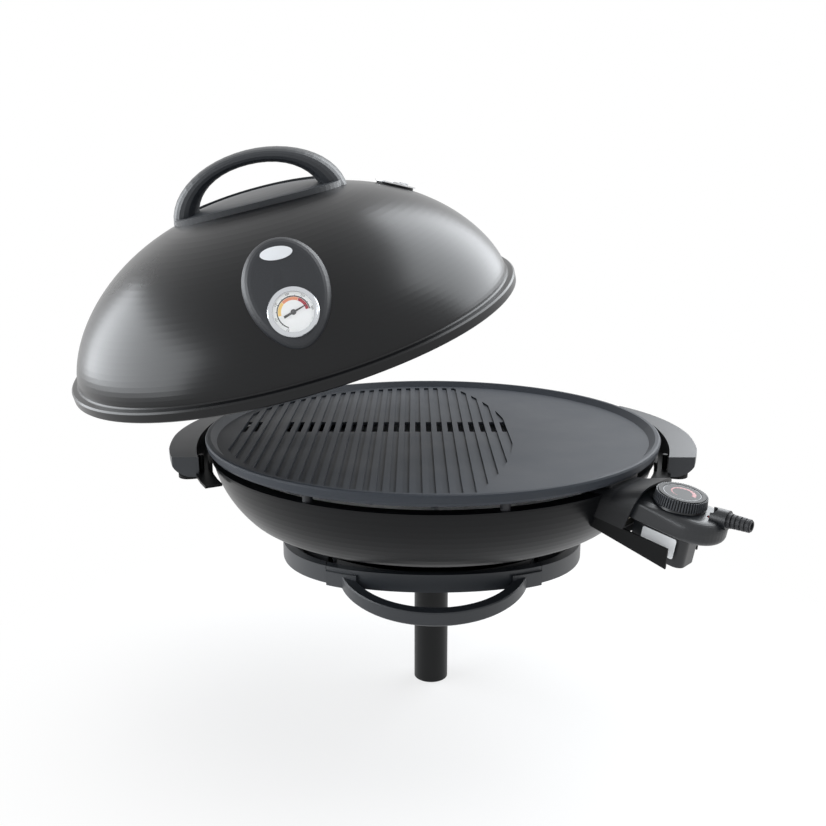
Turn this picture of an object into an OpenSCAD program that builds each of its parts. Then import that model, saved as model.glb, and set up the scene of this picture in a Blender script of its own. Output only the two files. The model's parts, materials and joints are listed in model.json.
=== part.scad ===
// Electric indoor grill with a lift-off domed lid: round ribbed plate over a bowl,
// a plug-in thermostat, a drip tray and the top of its floor-stand post.
// The origin is the centre of the post's lower end. +Z is up and -Y is the front.

/* [Post and hub] */
// Outer diameter of the post tube
post_d = 37; // [30:1:44]
// Wall of the post tube
post_wall = 1.5; // [1.2:0.1:3]
// Length of the post's top section, from its lower end to the stop in the hub
post_len = 165; // [120:5:400]
// Outer diameter of the hub's sleeve
hub_d = 47; // [47:1:60]
// Length of the hub's sleeve
hub_len = 54; // [50:1:90]

/* [Grill plate] */
// Outer diameter of the plate
plate_d = 470; // [460:1:480]
// Height of the plate's outer band
plate_h = 11; // [10:0.5:14]
// Width of the flat rim round the top
rim_w = 5.5; // [4:0.5:8]
// Depth of the cooking floor below the rim
floor_drop = 6; // [5:0.5:7]
// Distance from one rib to the next
rib_pitch = 11.5; // [10:0.5:13]
// Width of a groove between two ribs
groove_w = 5.8; // [4:0.2:7]
// Depth of the grooves
groove_depth = 2; // [1:0.25:2.5]
// Length of a drain slot
slot_len = 42; // [30:1:50]
// Diameter of the heating tube
tube_d = 8; // [6:0.5:8.5]
// Diameter of the heating tube's loop, at its centre line
loop_d = 265; // [240:1:268]

/* [Bowl] */
// Outer diameter of the bowl's rim
bowl_d = 458; // [440:1:460]
// Gap between the plate's band and the bowl's rim
bowl_gap = 8; // [6:0.5:10]
// Wall of the bowl
bowl_wall = 2; // [1.5:0.25:3]
// Steepness of the bowl's side at its rim, in degrees
side_slope = 80; // [78:1:82]
// Radius of the bowl's side, seen from the front
side_r = 108; // [100:1:110]
// Radius of the bowl's shoulder
shoulder_r = 26; // [22:1:30]

/* [Drip housing] */
// Outer diameter of the base ring
ring_d = 320; // [312:1:326]
// Width of the base ring
ring_w = 8; // [6:0.5:10]
// Height of the base ring
ring_h = 17.5; // [15:0.5:20]
// Drop of the ring's top below the plate's rim, at the front
ring_drop = 102; // [100:0.5:104]
// Radius to which the base ring is bowed, downward at both sides
saddle_r = 810; // [760:5:900]
// Outer diameter of the neck under the bowl
neck_d = 280; // [270:1:288]
// Width of the tray's front
tray_w = 207; // [200:1:212]
// Depth of the tray's pan
tray_depth = 13; // [10:0.5:13.5]
// Outer radius of the tray's bow handle
bow_r = 92; // [84:1:96]
// Thickness of the bow handle
bow_t = 10; // [7:0.5:12]
// Height of the bow handle
bow_h = 14; // [10:0.5:16]
// Fall of the bow handle toward the front, in degrees
bow_fall = 7; // [5:0.5:9]

/* [Side handles] */
// Gap between the plate and the side handles
wing_gap = 9; // [8:0.5:12]
// Width of a side handle
wing_w = 27; // [24:0.5:30]
// Height of a side handle
wing_h = 20.5; // [18:0.5:24]
// Tilt of the side handles, rising to the back, in degrees
wing_tilt = 2.2; // [0:0.1:3]

/* [Thermostat] */
// Direction of the plug-in thermostat, from the front right, in degrees
plug_az = -42; // [-44:0.5:-40]
// Slope of the thermostat, falling outward, in degrees
plug_slope = 10; // [9:0.5:11]
// Distance from the plate's centre to the socket's mouth
plug_s = 246; // [245:0.5:248]
// Width of the thermostat's housing
head_w = 60; // [56:1:64]
// Diameter of the control knob at its foot
knob_d = 46; // [42:1:48]
// Height of the control knob
knob_h = 10; // [8:0.5:12]
// Number of grip ribs round the knob
knob_ribs = 60; // [40:1:60]
// Width of the switch box under the housing
box_w = 30; // [26:1:40]

/* [Lid] */
// Outer diameter of the lid's rim
lid_d = 470; // [466:1:472]
// Height of the lid's straight rim band
band_h = 9.7; // [8:0.1:12]
// Width of the ledge between the band and the dome
ledge_w = 7.7; // [6:0.1:9]
// Height of the dome above the ledge
dome_h = 128.4; // [122:0.2:134]
// Sheet thickness of the lid
lid_t = 1.4; // [1:0.1:2]
// Length of the lid's handle
grip_l = 180; // [170:1:186]
// Height of the handle's bow
grip_h = 59; // [54:1:62]
// Width of the handle's bow, front to back
grip_w = 34; // [26:1:40]
// Width of the oval foot under the handle, front to back
foot_w = 126; // [100:2:136]
// Diameter of the thermometer's bezel
bezel_d = 43; // [41:0.5:46]
// Length of the badge plate behind the thermometer
egg_l = 100; // [96:1:106]
// Width of the badge plate
egg_w = 71; // [68:1:76]
// Height of the badge plate's face over the dome, at the thermometer
egg_t = 10; // [9:0.5:12]
// Diameter of the vent's shutter
vent_d = 43; // [40:1:48]

/* [Hidden] */
$fn = 96;

// Clearances
slip = 0.3;
fine = 0.05;
eps = 0.01;

// Colours
black = "#1d1f22";
dark = "#33363a";
grey = "#4a4d51";
steel = "#b9bcc0";

// Heights, counted from the top of the plate's rim
hub_top = -(ring_drop + ring_h + 5.5);
rim_z = post_len - hub_top;
bowl_top = -(plate_h + bowl_gap);
floor_z = -(ring_drop + ring_h - 2.5);

module at_rim() { translate([0, 0, rim_z]) children(); }

function back(list) = [for (i = [len(list) - 1:-1:0]) list[i]];

// A skin over rings of points that all have the same count
module loft(rings) {
    n = len(rings);
    m = len(rings[0]);
    points = [for (ring = rings) each ring];
    sides = [for (i = [0:n - 2], j = [0:m - 1]) let (k = (j + 1) % m)
        [i * m + j, i * m + k, (i + 1) * m + k, (i + 1) * m + j]];
    first = [for (j = [m - 1:-1:0]) j];
    last = [for (j = [0:m - 1]) (n - 1) * m + j];
    polyhedron(points = points, faces = concat([first], sides, [last]), convexity = 8);
}

// A long cylinder along Y whose crown is at height z: the saddle of the base
module saddle(z, r) {
    translate([0, 300, z - r]) rotate([90, 0, 0]) cylinder(r = r, h = 600, $fn = 720);
}

module pan_screw(d, len) {
    translate([0, 0, -len]) cylinder(d = d, h = len, $fn = 24);
    difference() {
        cylinder(d = 2 * d, h = 0.55 * d, $fn = 24);
        for (a = [0, 90]) rotate([0, 0, a])
            translate([-0.65 * d, -0.12 * d, 0.25 * d]) cube([1.3 * d, 0.24 * d, d]);
    }
}

// Post and hub
post_r = post_d / 2;
hub_r = hub_d / 2;
hub_low = hub_top - hub_len + 3;
flange_r = 43.5;
hub_screw_r = 37;
hub_screw_d = 5;
hub_cone_r = hub_screw_r - hub_screw_d - 1.5;
floor_t = 2.5;
ring_in = ring_d / 2 - ring_w;
floor_r = ring_in - fine;

// How far the ring's inner side lies in front of the middle, at x
function ring_front(x) = sqrt(pow(ring_in, 2) - pow(x, 2));

module post_tube() {
    color(dark) difference() {
        cylinder(r = post_r, h = post_len);
        translate([0, 0, -1]) cylinder(r = post_r - post_wall, h = post_len + 2);
    }
}

module hub_screw_spots() {
    for (a = [45:90:315]) rotate([0, 0, a]) translate([hub_screw_r, 0, 0]) children();
}

module hub() {
    color(black) at_rim() difference() {
        union() {
            rotate_extrude() polygon([[0, hub_low], [hub_r, hub_low], [hub_r, hub_top - 36],
                [hub_cone_r, hub_top - 3], [hub_cone_r, hub_top + 1], [0, hub_top + 1]]);
            intersection() {
                translate([0, 0, hub_top - 2]) cylinder(r = flange_r, h = 20);
                saddle(floor_z - floor_t - fine, saddle_r - floor_t);
            }
            translate([0, 0, hub_top - 40]) rotate([-90, 0, 0]) cylinder(d = 16, h = hub_r + 6);
        }
        translate([0, 0, hub_low - 1]) cylinder(r = post_r + fine, h = hub_top - hub_low + 1);
        translate([0, 0, hub_top - 40]) rotate([-90, 0, 0]) cylinder(d = 8.1, h = hub_r + 10);
        translate([0, 0, hub_top - 20]) hub_screw_spots() cylinder(d = hub_screw_d + 0.1, h = 40);
    }
}

module hub_screws() {
    color(steel) at_rim() hub_screw_spots() translate([0, 0, hub_top - 2])
        mirror([0, 0, 1]) pan_screw(hub_screw_d, 9.5);
}

// The grub screw that grips the post, with its star knob behind
module clamp_screw() {
    color(black) at_rim() translate([0, post_r + fine, hub_top - 40]) rotate([-90, 0, 0]) {
        cylinder(d = 8, h = hub_r - post_r + 10);
        translate([0, 0, hub_r - post_r + 7]) difference() {
            cylinder(d = 30, h = 12);
            for (a = [0:60:300]) rotate([0, 0, a]) translate([18, 0, -1]) cylinder(d = 12, h = 14, $fn = 32);
        }
    }
}

// Base ring, floor and neck
module saddle_slab(top, h) {
    difference() {
        saddle(top, saddle_r);
        saddle(top - h, saddle_r - h);
    }
}

gap_x = tray_w / 2 + 0.5;

module base_ring() {
    color(black) at_rim() difference() {
        intersection() {
            translate([0, 0, -ring_drop - 60]) cylinder(r = ring_d / 2, h = 80, $fn = 180);
            saddle_slab(-ring_drop, ring_h);
        }
        translate([0, 0, -ring_drop - 61]) cylinder(r = ring_in, h = 82, $fn = 180);
        translate([-gap_x, -ring_d, -ring_drop - 60]) cube([2 * gap_x, ring_d, 80]);
    }
}

neck_r = neck_d / 2;
neck_t = 2.5;
boss_d = 11;
bowl_screw_d = 4;
module boss_spots() {
    for (a = [-28, 28, 90, 152, 208]) rotate([0, 0, a]) translate([neck_r - boss_d / 2, 0, 0]) children();
}

module drip_housing() {
    color(dark) at_rim() {
        difference() {
            union() {
                intersection() {
                    translate([0, 0, floor_z - 40]) cylinder(r = floor_r, h = 60, $fn = 180);
                    saddle_slab(floor_z, floor_t);
                }
                difference() {
                    translate([0, 0, floor_z - 25])
                        cylinder(r = neck_r, h = bowl_low - fine - floor_z + 25, $fn = 180);
                    translate([0, 0, floor_z - 26]) cylinder(r = neck_r - neck_t, h = 90, $fn = 180);
                    saddle(floor_z - eps, saddle_r);
                    translate([-gap_x, -neck_d, floor_z - 30]) cube([2 * gap_x, neck_d, 100]);
                }
                boss_spots() translate([0, 0, floor_z - 4])
                    cylinder(d = boss_d, h = bowl_low - fine - floor_z + 4, $fn = 32);
            }
            hub_screw_spots() translate([0, 0, floor_z - 20])
                cylinder(d = hub_screw_d + 0.1, h = 40, $fn = 24);
            boss_spots() translate([0, 0, floor_z - 20]) cylinder(d = bowl_screw_d + 0.1, h = 80, $fn = 24);
        }
    }
}

// Bowl: a pressed side, a shoulder and a nearly flat bottom
bottom_slope = 13;
shoulder_slope = 46;
function bend(p, r, s0, s1, n) = [for (i = [0:n]) let (s = s0 + (s1 - s0) * i / n)
    [p[0] - r * (sin(s0) - sin(s)), p[1] - r * (cos(s) - cos(s0))]];
function last(list) = list[len(list) - 1];
bowl_r = bowl_d / 2;
rim_r = bowl_r + 1;
function bowl_line(t) = let (
    a = bend([bowl_r - t, bowl_top], side_r - t, side_slope, shoulder_slope, 10),
    b = bend(last(a), shoulder_r - t, shoulder_slope, bottom_slope, 5),
    k = [last(b)[0] - 22, last(b)[1] - 22 * tan(bottom_slope)],
    c = bend(k, 60 - t, bottom_slope, 0, 3))
    concat(a, b, c);
bowl_low = last(bowl_line(0))[1];
drain_r = 28;

// The bowl as a solid body, with a hair to spare
module bowl_shape() {
    rotate_extrude($fn = 180) polygon(concat(bowl_line(-fine),
        [[0, bowl_low - fine], [0, 20], [bowl_r, 20]]));
}

module bowl() {
    outer = bowl_line(0);
    inner = bowl_line(bowl_wall);
    color(black) at_rim() difference() {
        union() {
            rotate_extrude($fn = 180) polygon(concat(outer,
                [[drain_r, bowl_low], [drain_r, bowl_low + bowl_wall]],
                back(inner)));
            rotate_extrude($fn = 180) translate([rim_r - 13, bowl_top - 2]) square([13, 2]);
        }
        plug_place() translate([-60, -shroud_w / 2 - slip, -shroud_h - slip])
            cube([100, shroud_w + 2 * slip, 60]);
        boss_spots() translate([0, 0, bowl_low - 1]) cylinder(d = bowl_screw_d + 0.1, h = 10, $fn = 24);
        shield_spots() translate([0, 0, bowl_low - 1]) cylinder(d = stud_d + 0.1, h = 10, $fn = 24);
    }
}

module bowl_screws() {
    color(steel) at_rim() boss_spots() translate([0, 0, bowl_low + bowl_wall]) pan_screw(bowl_screw_d, 14);
}

// Heat shield: a shallow pan under the heating tube, drained at its middle
post_ring_r = 110;
stud_d = 4;
module shield_spots() { for (a = [30:120:270]) rotate([0, 0, a]) translate([post_ring_r, 0, 0]) children(); }
shield_z = -54;
shield_t = 1.2;
shield_r = 194;
module heat_shield() {
    line = [[24, shield_z - 6], [post_ring_r - 18, shield_z], [post_ring_r + 18, shield_z],
        [shield_r - 8, shield_z + 9], [shield_r, shield_z + 9]];
    color("#c8cacc") at_rim() difference() {
        rotate_extrude($fn = 180) polygon(concat(line, back([for (p = line) [p[0], p[1] + shield_t]])));
        shield_spots() translate([0, 0, shield_z - 5]) cylinder(d = stud_d + 0.1, h = 10, $fn = 24);
    }
}

module shield_posts() {
    low = bowl_low + bowl_wall;
    color(steel) at_rim() shield_spots() {
        translate([0, 0, low]) cylinder(d = 10, h = shield_z - low, $fn = 32);
        translate([0, 0, shield_z - 1]) cylinder(d = stud_d, h = shield_t + 4, $fn = 24);
        translate([0, 0, shield_z + shield_t]) cylinder(d = 2 * stud_d, h = 3, $fn = 6);
        translate([0, 0, low - bowl_wall - 3]) cylinder(d = stud_d, h = 6, $fn = 24);
        translate([0, 0, low - bowl_wall - 3]) cylinder(d = 2 * stud_d, h = 3, $fn = 6);
    }
}

// Tray runners stand on the floor of the housing, one on each side
runner_t = 4;
pan_w = tray_w - 21;
pan_lip = 6;
pan_back = sqrt(pow(neck_r - neck_t, 2) - pow(pan_w / 2, 2)) - 13.3;
tray_top = floor_z + 1.5 + tray_depth;
runner_front = ring_front(pan_w / 2 + 1.5 + runner_t) - 11.8;
module tray_runners() {
    color(steel) at_rim() for (side = [-1, 1]) difference() {
        translate([side * (pan_w / 2 + 1.5 + runner_t / 2) - runner_t / 2, -runner_front, floor_z - 20])
            cube([runner_t, runner_front + pan_back - 4, tray_top - 1.5 - slip - floor_z + 20]);
        saddle(floor_z, saddle_r);
    }
}

// Side handles: crescents round the plate, with a round lower edge and a tapered back
wing_in = plate_d / 2 + wing_gap;
wing_out = wing_in + wing_w;
wing_z = -12.5;
wing_y = -80;
edge_r = wing_h - 0.5;
taper_r = 176;
tip_az = 26.5;
module wing_place() {
    translate([0, wing_y, wing_z]) rotate([wing_tilt, 0, 0]) translate([0, -wing_y, 0]) children();
}
module wing() {
    intersection() {
        rotate_extrude($fn = 240) intersection() {
            translate([wing_in, -wing_h]) square([wing_w, wing_h]);
            union() {
                translate([wing_in, -wing_h]) square([wing_w - edge_r, wing_h]);
                translate([wing_out - edge_r, -0.5]) circle(r = edge_r, $fn = 96);
                translate([wing_out - edge_r, -0.5]) square([edge_r - 0.5, 0.5]);
            }
        }
        translate([wing_out - taper_r, -10, -40]) cylinder(r = taper_r, h = 60, $fn = 240);
        translate([100, wing_y, -40]) cube([300, 300, 60]);
        rotate([0, 0, tip_az - 90]) translate([0, 0, -40]) cube([400, 400, 60]);
    }
}

lug_in = bowl_r - 2;
lug_r = wing_in + 8;
lug_az = [-15.5, 12];
module lug_spots() { for (a = lug_az) rotate([0, 0, a]) translate([lug_r, 0, -wing_h]) children(); }

module wing_with_holes() {
    wing_place() difference() {
        wing();
        lug_spots() translate([0, 0, -5]) cylinder(d = 4.1, h = 15, $fn = 24);
    }
}

module right_handle() { color(grey) at_rim() wing_with_holes(); }
module left_handle() { color(grey) at_rim() mirror([1, 0, 0]) wing_with_holes(); }

// Steel arms from the bowl's rim to under the side handle, each with a stop pin in the gap
arm_t = 3;
arm_w = 22;
module bracket() {
    difference() {
        union() {
            rotate([0, 0, lug_az[0]]) rotate_extrude(angle = lug_az[1] - lug_az[0], $fn = 180)
                translate([lug_in, bowl_top - 14]) square([arm_t + 3.2, 12]);
            wing_place() for (a = lug_az) rotate([0, 0, a]) translate([0, 0, -wing_h - arm_t - fine]) {
                translate([lug_in, -arm_w / 2, 0]) cube([lug_r - lug_in, arm_w, arm_t]);
                translate([lug_r, 0, 0]) cylinder(d = arm_w, h = arm_t, $fn = 48);
                translate([lug_in, -arm_w / 2, 0]) cube([arm_t + 3, arm_w, wing_h + arm_t - 8]);
                translate([wing_in - 4, 0, 0]) cylinder(d = 5, h = wing_h + arm_t - 2, $fn = 32);
            }
        }
        translate([0, 0, -100]) cylinder(r = rim_r + fine, h = 120, $fn = 180);
        wing_place() lug_spots() translate([0, 0, -10]) cylinder(d = 4.1, h = 20, $fn = 24);
    }
}
module right_bracket() { color(dark) at_rim() bracket(); }
module left_bracket() { color(dark) at_rim() mirror([1, 0, 0]) bracket(); }

module handle_screws() {
    color(steel) at_rim() for (m = [0, 1]) mirror([m, 0, 0]) wing_place() lug_spots()
        translate([0, 0, -arm_t - 2 * fine]) mirror([0, 0, 1]) pan_screw(4, 12);
}

// Everything of the thermostat is drawn in its own frame: X runs outward along its slope
plug_z = -29;
module plug_place() {
    rotate([0, 0, plug_az]) translate([plug_s, 0, plug_z]) rotate([0, plug_slope, 0]) children();
}

// Side plates that keep heat and knocks off the switch box, joined by a web on the bowl
guard_t = 2;
guard_in = head_w / 2 - 1;
module plug_guard() {
    color(dark) at_rim() difference() {
        plug_place() {
            for (side = [-1, 1]) translate([0, side * (guard_in + guard_t / 2) + guard_t / 2, 0])
                rotate([90, 0, 0]) linear_extrude(guard_t)
                    polygon([[-40, -16.5], [49, -16.5], [51, -35], [-40, -26]]);
            translate([-40, -guard_in - 1, -26]) cube([26, 2 * guard_in + 2, 9.5]);
        }
        bowl_shape();
    }
}

// Grill plate
plate_r = plate_d / 2;
dish_r = plate_r - rim_w;
slope_w = 6;
first_slot = -198.8;
slots = [0, 1, each [4:24]];
grooves = 25;
module rib_zone() {
    intersection() {
        circle(r = dish_r - slope_w - 8, $fn = 180);
        translate([-391, 0]) circle(r = 474, $fn = 360);
    }
}
module grill_plate() {
    color(grey) at_rim() difference() {
        rotate_extrude($fn = 240) polygon([[0, -plate_h], [plate_r - 3, -plate_h],
            [plate_r - 1, -plate_h + 3],
            [plate_r, -2.5], [plate_r - 0.8, -0.8], [plate_r - 2.4, 0], [dish_r, 0],
            [dish_r - slope_w, -floor_drop], [0, -floor_drop]]);
        translate([0, 0, -floor_drop - groove_depth]) linear_extrude(groove_depth + 1) intersection() {
            rib_zone();
            for (i = [0:grooves - 1]) translate([first_slot + i * rib_pitch - groove_w / 2, -240])
                square([groove_w, 480]);
        }
        for (i = slots) translate([first_slot + i * rib_pitch - groove_w / 2, 2, -plate_h - 1])
            cube([groove_w, slot_len, plate_h]);
    }
}

// Heating tube: a loop round the drain slots, with two legs out to the socket
loop_c = [-37.5, 10];
leg_t = 10;
tube_r = tube_d / 2;
tube_z = -plate_h - tube_r - 0.1;
loop_r = loop_d / 2;
loop_s = loop_c[0] * cos(plug_az) + loop_c[1] * sin(plug_az);
loop_t = loop_c[1] * cos(plug_az) - loop_c[0] * sin(plug_az);
function leg_angle(t) = asin((t - loop_t) / loop_r);
function leg_s(t) = loop_s + loop_r * cos(leg_angle(t));
leg_bend = 184;
leg_fall = 19;
pin_start = -40.5;
module heating_tube() {
    color("#6b6660") at_rim() difference() {
        rotate([0, 0, plug_az]) translate([0, 0, tube_z]) {
            translate([loop_s, loop_t, 0]) rotate([0, 0, leg_angle(leg_t)])
                rotate_extrude(angle = 360 - leg_angle(leg_t) + leg_angle(-leg_t), $fn = 144)
                    translate([loop_r, 0]) circle(r = tube_r, $fn = 24);
            for (t = [-leg_t, leg_t]) {
                translate([leg_s(t), t, 0]) sphere(r = tube_r + 0.2, $fn = 24);
                translate([leg_s(t), t, 0]) rotate([0, 90, 0])
                    cylinder(r = tube_r, h = leg_bend - leg_s(t), $fn = 24);
                translate([leg_bend, t, 0]) sphere(r = tube_r + 0.2, $fn = 24);
                translate([leg_bend, t, 0]) rotate([0, 90 + leg_fall, 0])
                    cylinder(r = tube_r, h = 30, $fn = 24);
            }
        }
        plug_place() translate([pin_start - fine, -50, -50]) cube([100, 100, 100]);
    }
}

module tube_clips() {
    color(steel) at_rim() rotate([0, 0, plug_az]) translate([loop_s, loop_t, -plate_h])
        for (a = [60, 150, 240, 320]) rotate([0, 0, a]) translate([loop_r, 0, 0]) difference() {
            translate([-tube_r - 9, -6, -tube_d - 1.6]) cube([2 * tube_r + 18, 12, tube_d + 1.6]);
            translate([0, 7, -tube_r - 0.1]) rotate([90, 0, 0]) cylinder(r = tube_r + 0.25, h = 14, $fn = 32);
            translate([-tube_r - 0.25, -7, -tube_r]) cube([2 * tube_r + 0.5, 14, tube_r + 1]);
            for (side = [-1, 1]) translate([side > 0 ? tube_r + 1.5 : -tube_r - 11, -7, -tube_d - 3])
                cube([9.5, 14, tube_d + 1.4]);
        }
}

// Feet that carry the plate on the bowl's rim
module plate_feet() {
    color(black) at_rim() for (a = [0, 60, 120, 180, 240, 285]) rotate([0, 0, a])
        translate([rim_r - 7, 0, bowl_top])
        cylinder(d = 9, h = bowl_gap, $fn = 32);
}

// Socket under the plate's rim, with an arched mouth
shroud_w = 67;
shroud_h = 16;
shroud_t = 2.5;
shroud_top = [10, 13.4, 24.8];
shroud_x = [-40, -12, 6];
lean = [0, 0, 8];
arch_n = 24;
// One ring of the socket: an arch with a flat foot, its top leaning outward
function arch_ring(x, top, lean, w, low) = [for (i = [arch_n:-1:0]) let (
    a = 180 * i / arch_n,
    up = pow(sin(a), 0.45),
    z = -low + (top + low) * up)
    [x + lean * up, w / 2 * sign(cos(a)) * pow(abs(cos(a)), 0.45), z]];
module socket_shroud() {
    color(black) at_rim() plug_place() difference() {
        union() {
            loft([for (i = [0:2]) arch_ring(shroud_x[i], shroud_top[i], lean[i], shroud_w, shroud_h)]);
            rotate([0, -plug_slope, 0]) translate([-40, -24, -plug_z - plate_h - 3.5])
                cube([24, 48, 3.5 - fine]);
        }
        loft([for (i = [0:2]) arch_ring(shroud_x[i] + (i == 0 ? shroud_t : i == 2 ? 1 : 0),
            shroud_top[i] - shroud_t,
            lean[i], shroud_w - 2 * shroud_t, shroud_h - shroud_t)]);
        for (t = [-pin_t, pin_t]) translate([-50, t, 0]) rotate([0, 90, 0])
            cylinder(d = pin_d + 0.1, h = 20, $fn = 32);
    }
}

pin_t = 10;
pin_d = 5;
module contact_pins() {
    color("#c9a24b") at_rim() plug_place() for (t = [-pin_t, pin_t]) {
        translate([pin_start, t, 0]) rotate([0, 90, 0]) cylinder(d = pin_d, h = 33, $fn = 32);
        translate([pin_start + 33, t, 0]) sphere(d = pin_d, $fn = 32);
    }
}
module earth_pin() {
    color(steel) at_rim() plug_place() translate([shroud_x[0] + shroud_t + fine, -3, 3.5]) cube([26, 6, 1.2]);
}

// Thermostat housing: two moulded halves that part on the plane z = 0
head_l = 54;
head_r = head_w / 2;
top_z = 13;
base_z = 8;
knob_x = 37;
collar_z = 14;
module soft_disc(r, h, edge) {
    rotate_extrude($fn = 48) {
        square([r - edge, h]);
        square([r, h - edge]);
        translate([r - edge, h - edge]) circle(r = edge, $fn = 32);
    }
}
module head_half(h, edge) {
    intersection() {
        hull() {
            translate([head_l, 0, 0]) soft_disc(head_r - 2, h, edge);
            translate([1, -head_r + 3, 0]) cube([10, head_w - 6, h - 3]);
            translate([1, -head_r + 9, 0]) cube([10, head_w - 18, h - 1]);
        }
        translate([0, -head_w, 0]) cube([head_l + head_w, 2 * head_w, 2 * h]);
    }
}
module thermostat_top() {
    color(dark) at_rim() plug_place() difference() {
        union() {
            head_half(top_z, 9);
            translate([knob_x, 0, 4]) cylinder(r1 = knob_d / 2 + 2, r2 = knob_d / 2 - 1.5,
                h = collar_z - 4, $fn = 96);
            relief_place() translate([0, 0, -16]) cylinder(d = relief_d + 4, h = 14, $fn = 64);
        }
        translate([knob_x, 0, -1]) cylinder(d = 6.1, h = 40, $fn = 32);
        translate([lamp_x, 0, 0]) cylinder(d = 7.2, h = 40, $fn = 32);
        relief_place() translate([0, 0, -10]) cylinder(d = relief_d + 0.1, h = 30, $fn = 48);
        translate([0, 0, -40]) cube([200, 200, 80], center = true);
        translate([-100, -60, -60]) cube([101, 120, 120]);
    }
}
box_end = 57.5;
box_z = -38;
box_x = 6.5;
box_c = 8;
module thermostat_base() {
    color(dark) at_rim() plug_place() {
        mirror([0, 0, 1]) head_half(base_z, 7);
        translate([0, 0, box_z]) linear_extrude(-box_z - 4) {
            translate([box_x, -box_w / 2]) square([box_end - box_c - box_x, box_w]);
            translate([box_x, -box_w / 2 + box_c]) square([box_end - box_x, box_w - 2 * box_c]);
            for (side = [-1, 1]) translate([box_end - box_c, side * (box_w / 2 - box_c)])
                circle(r = box_c, $fn = 48);
        }
    }
}

lamp_x = 67;
relief_d = 13;
relief_rise = 8.5;
module relief_place() { translate([83, 3, 15.5]) rotate([0, 90 - relief_rise, 0]) children(); }
module lamp_lens() {
    color("#a01020") at_rim() plug_place() translate([lamp_x, 0, 0]) {
        cylinder(d = 7, h = top_z - 1.5, $fn = 32);
        translate([0, 0, top_z - 1.5]) sphere(d = 6.4, $fn = 32);
    }
}

relief_l = 18;
module strain_relief() {
    color("#26282b") at_rim() plug_place() relief_place() difference() {
        union() {
            translate([0, 0, -10]) cylinder(d = relief_d, h = 11, $fn = 48);
            cylinder(d = relief_d - 3.5, h = relief_l, $fn = 48);
            for (i = [0:3]) translate([0, 0, 2.4 + i * 4]) cylinder(d1 = relief_d - 0.5 - 0.3 * i,
                d2 = relief_d - 0.8 - 0.3 * i, h = 2.5, $fn = 48);
        }
        translate([0, 0, 6]) cylinder(d = 6.6, h = 30, $fn = 32);
    }
}

module contact_sockets() {
    color("#c9a24b") at_rim() plug_place() for (t = [-pin_t, pin_t]) translate([-24, t, 0]) rotate([0, 90, 0])
        difference() {
            cylinder(d = 8, h = 25 - fine, $fn = 32);
            translate([0, 0, -1]) cylinder(d = 5.6, h = 24, $fn = 32);
        }
}
module heat_probe() {
    color(steel) at_rim() plug_place() translate([-33, 0, -8]) rotate([0, 90, 0])
        cylinder(d = 5, h = 34 - fine, $fn = 32);
}
module switch_block() {
    color("#d8d2c4") at_rim() plug_place() difference() {
        translate([-4, -20, -13]) cube([5 - fine, 40, 19]);
        for (t = [-pin_t, pin_t]) translate([-10, t, 0]) rotate([0, 90, 0])
            cylinder(d = 8.1, h = 20, $fn = 32);
        translate([-10, 0, -8]) rotate([0, 90, 0]) cylinder(d = 5.1, h = 20, $fn = 32);
    }
}
module thermostat_screws() {
    color(steel) at_rim() plug_place() for (side = [-1, 1]) translate([32 + side * 18, 0, box_z])
        mirror([0, 0, 1]) cylinder(d = 6, h = 1.2, $fn = 32);
}

// Control knob with upright grip ribs
module control_knob() {
    color(black) at_rim() plug_place() translate([knob_x, 0, collar_z + slip]) difference() {
        union() {
            cylinder(r1 = knob_d / 2 - 0.8, r2 = knob_d / 2 - 2.6, h = knob_h, $fn = 96);
            for (i = [0:knob_ribs - 1]) rotate([0, 0, 360 * i / knob_ribs])
                translate([knob_d / 2 - 2.2, 0, 1]) rotate([0, -10, 0])
                    cylinder(d = 1.5, h = knob_h - 1.6, $fn = 8);
        }
        translate([0, 0, knob_h - 1.2]) cylinder(d = disc_d + 0.1, h = 5, $fn = 96);
        translate([0, 0, -1]) cylinder(d = 6 + 0.04, h = 8, $fn = 32);
    }
}
disc_d = 34;
module knob_disc() {
    color(dark) at_rim() plug_place() translate([knob_x, 0, collar_z + slip + knob_h - 1.2])
        cylinder(d = disc_d, h = 0.9, $fn = 96);
}
module knob_shaft() {
    color(steel) at_rim() plug_place() translate([knob_x, 0, fine])
        cylinder(d = 6, h = collar_z + slip + 6, $fn = 32);
}

// Lid, drawn in its own frame: the origin is the centre of its lower edge
lid_pos = [-143, 22.5, 102.1];
lid_roll = 13.64;
lid_pitch = 8.18;
module lid_place() { translate(lid_pos) rotate([lid_pitch, -lid_roll, 0]) children(); }

lid_r = lid_d / 2;
dome_r = lid_r - ledge_w;
dome_z = band_h + 1.8;
dome_p = 2.355;
dome_q = 1.522;
function dome_line(t, n) = [for (i = [0:n]) let (a = 90 * i / n)
    [(dome_r + t) * pow(cos(a), 2 / dome_p), dome_z + (dome_h + t) * pow(sin(a), 2 / dome_q)]];
module dome_solid(t) {
    rotate_extrude($fn = 240) polygon(concat([[0, dome_z - 3], [dome_r + t, dome_z - 3]], dome_line(t, 36)));
}
function dome_height(r) = dome_z + dome_h * pow(1 - pow(r / dome_r, dome_p), 1 / dome_q);

// A place on the dome, with +Z out of its skin
module on_dome(az, r, lift) {
    rotate([0, 0, az]) translate([r, 0, dome_height(r)]) rotate([0, 90 - lift, 0]) children();
}

dial_az = -80.8;
dial_r = 202.1;
dial_lift = 25.5;
module dial_place() { on_dome(dial_az, dial_r, dial_lift) children(); }
vent_az = 17;
vent_r = 141;
vent_lift = 62.7;
module vent_place() { on_dome(vent_az, vent_r, vent_lift) children(); }
grip_screw_x = 74;

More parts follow.
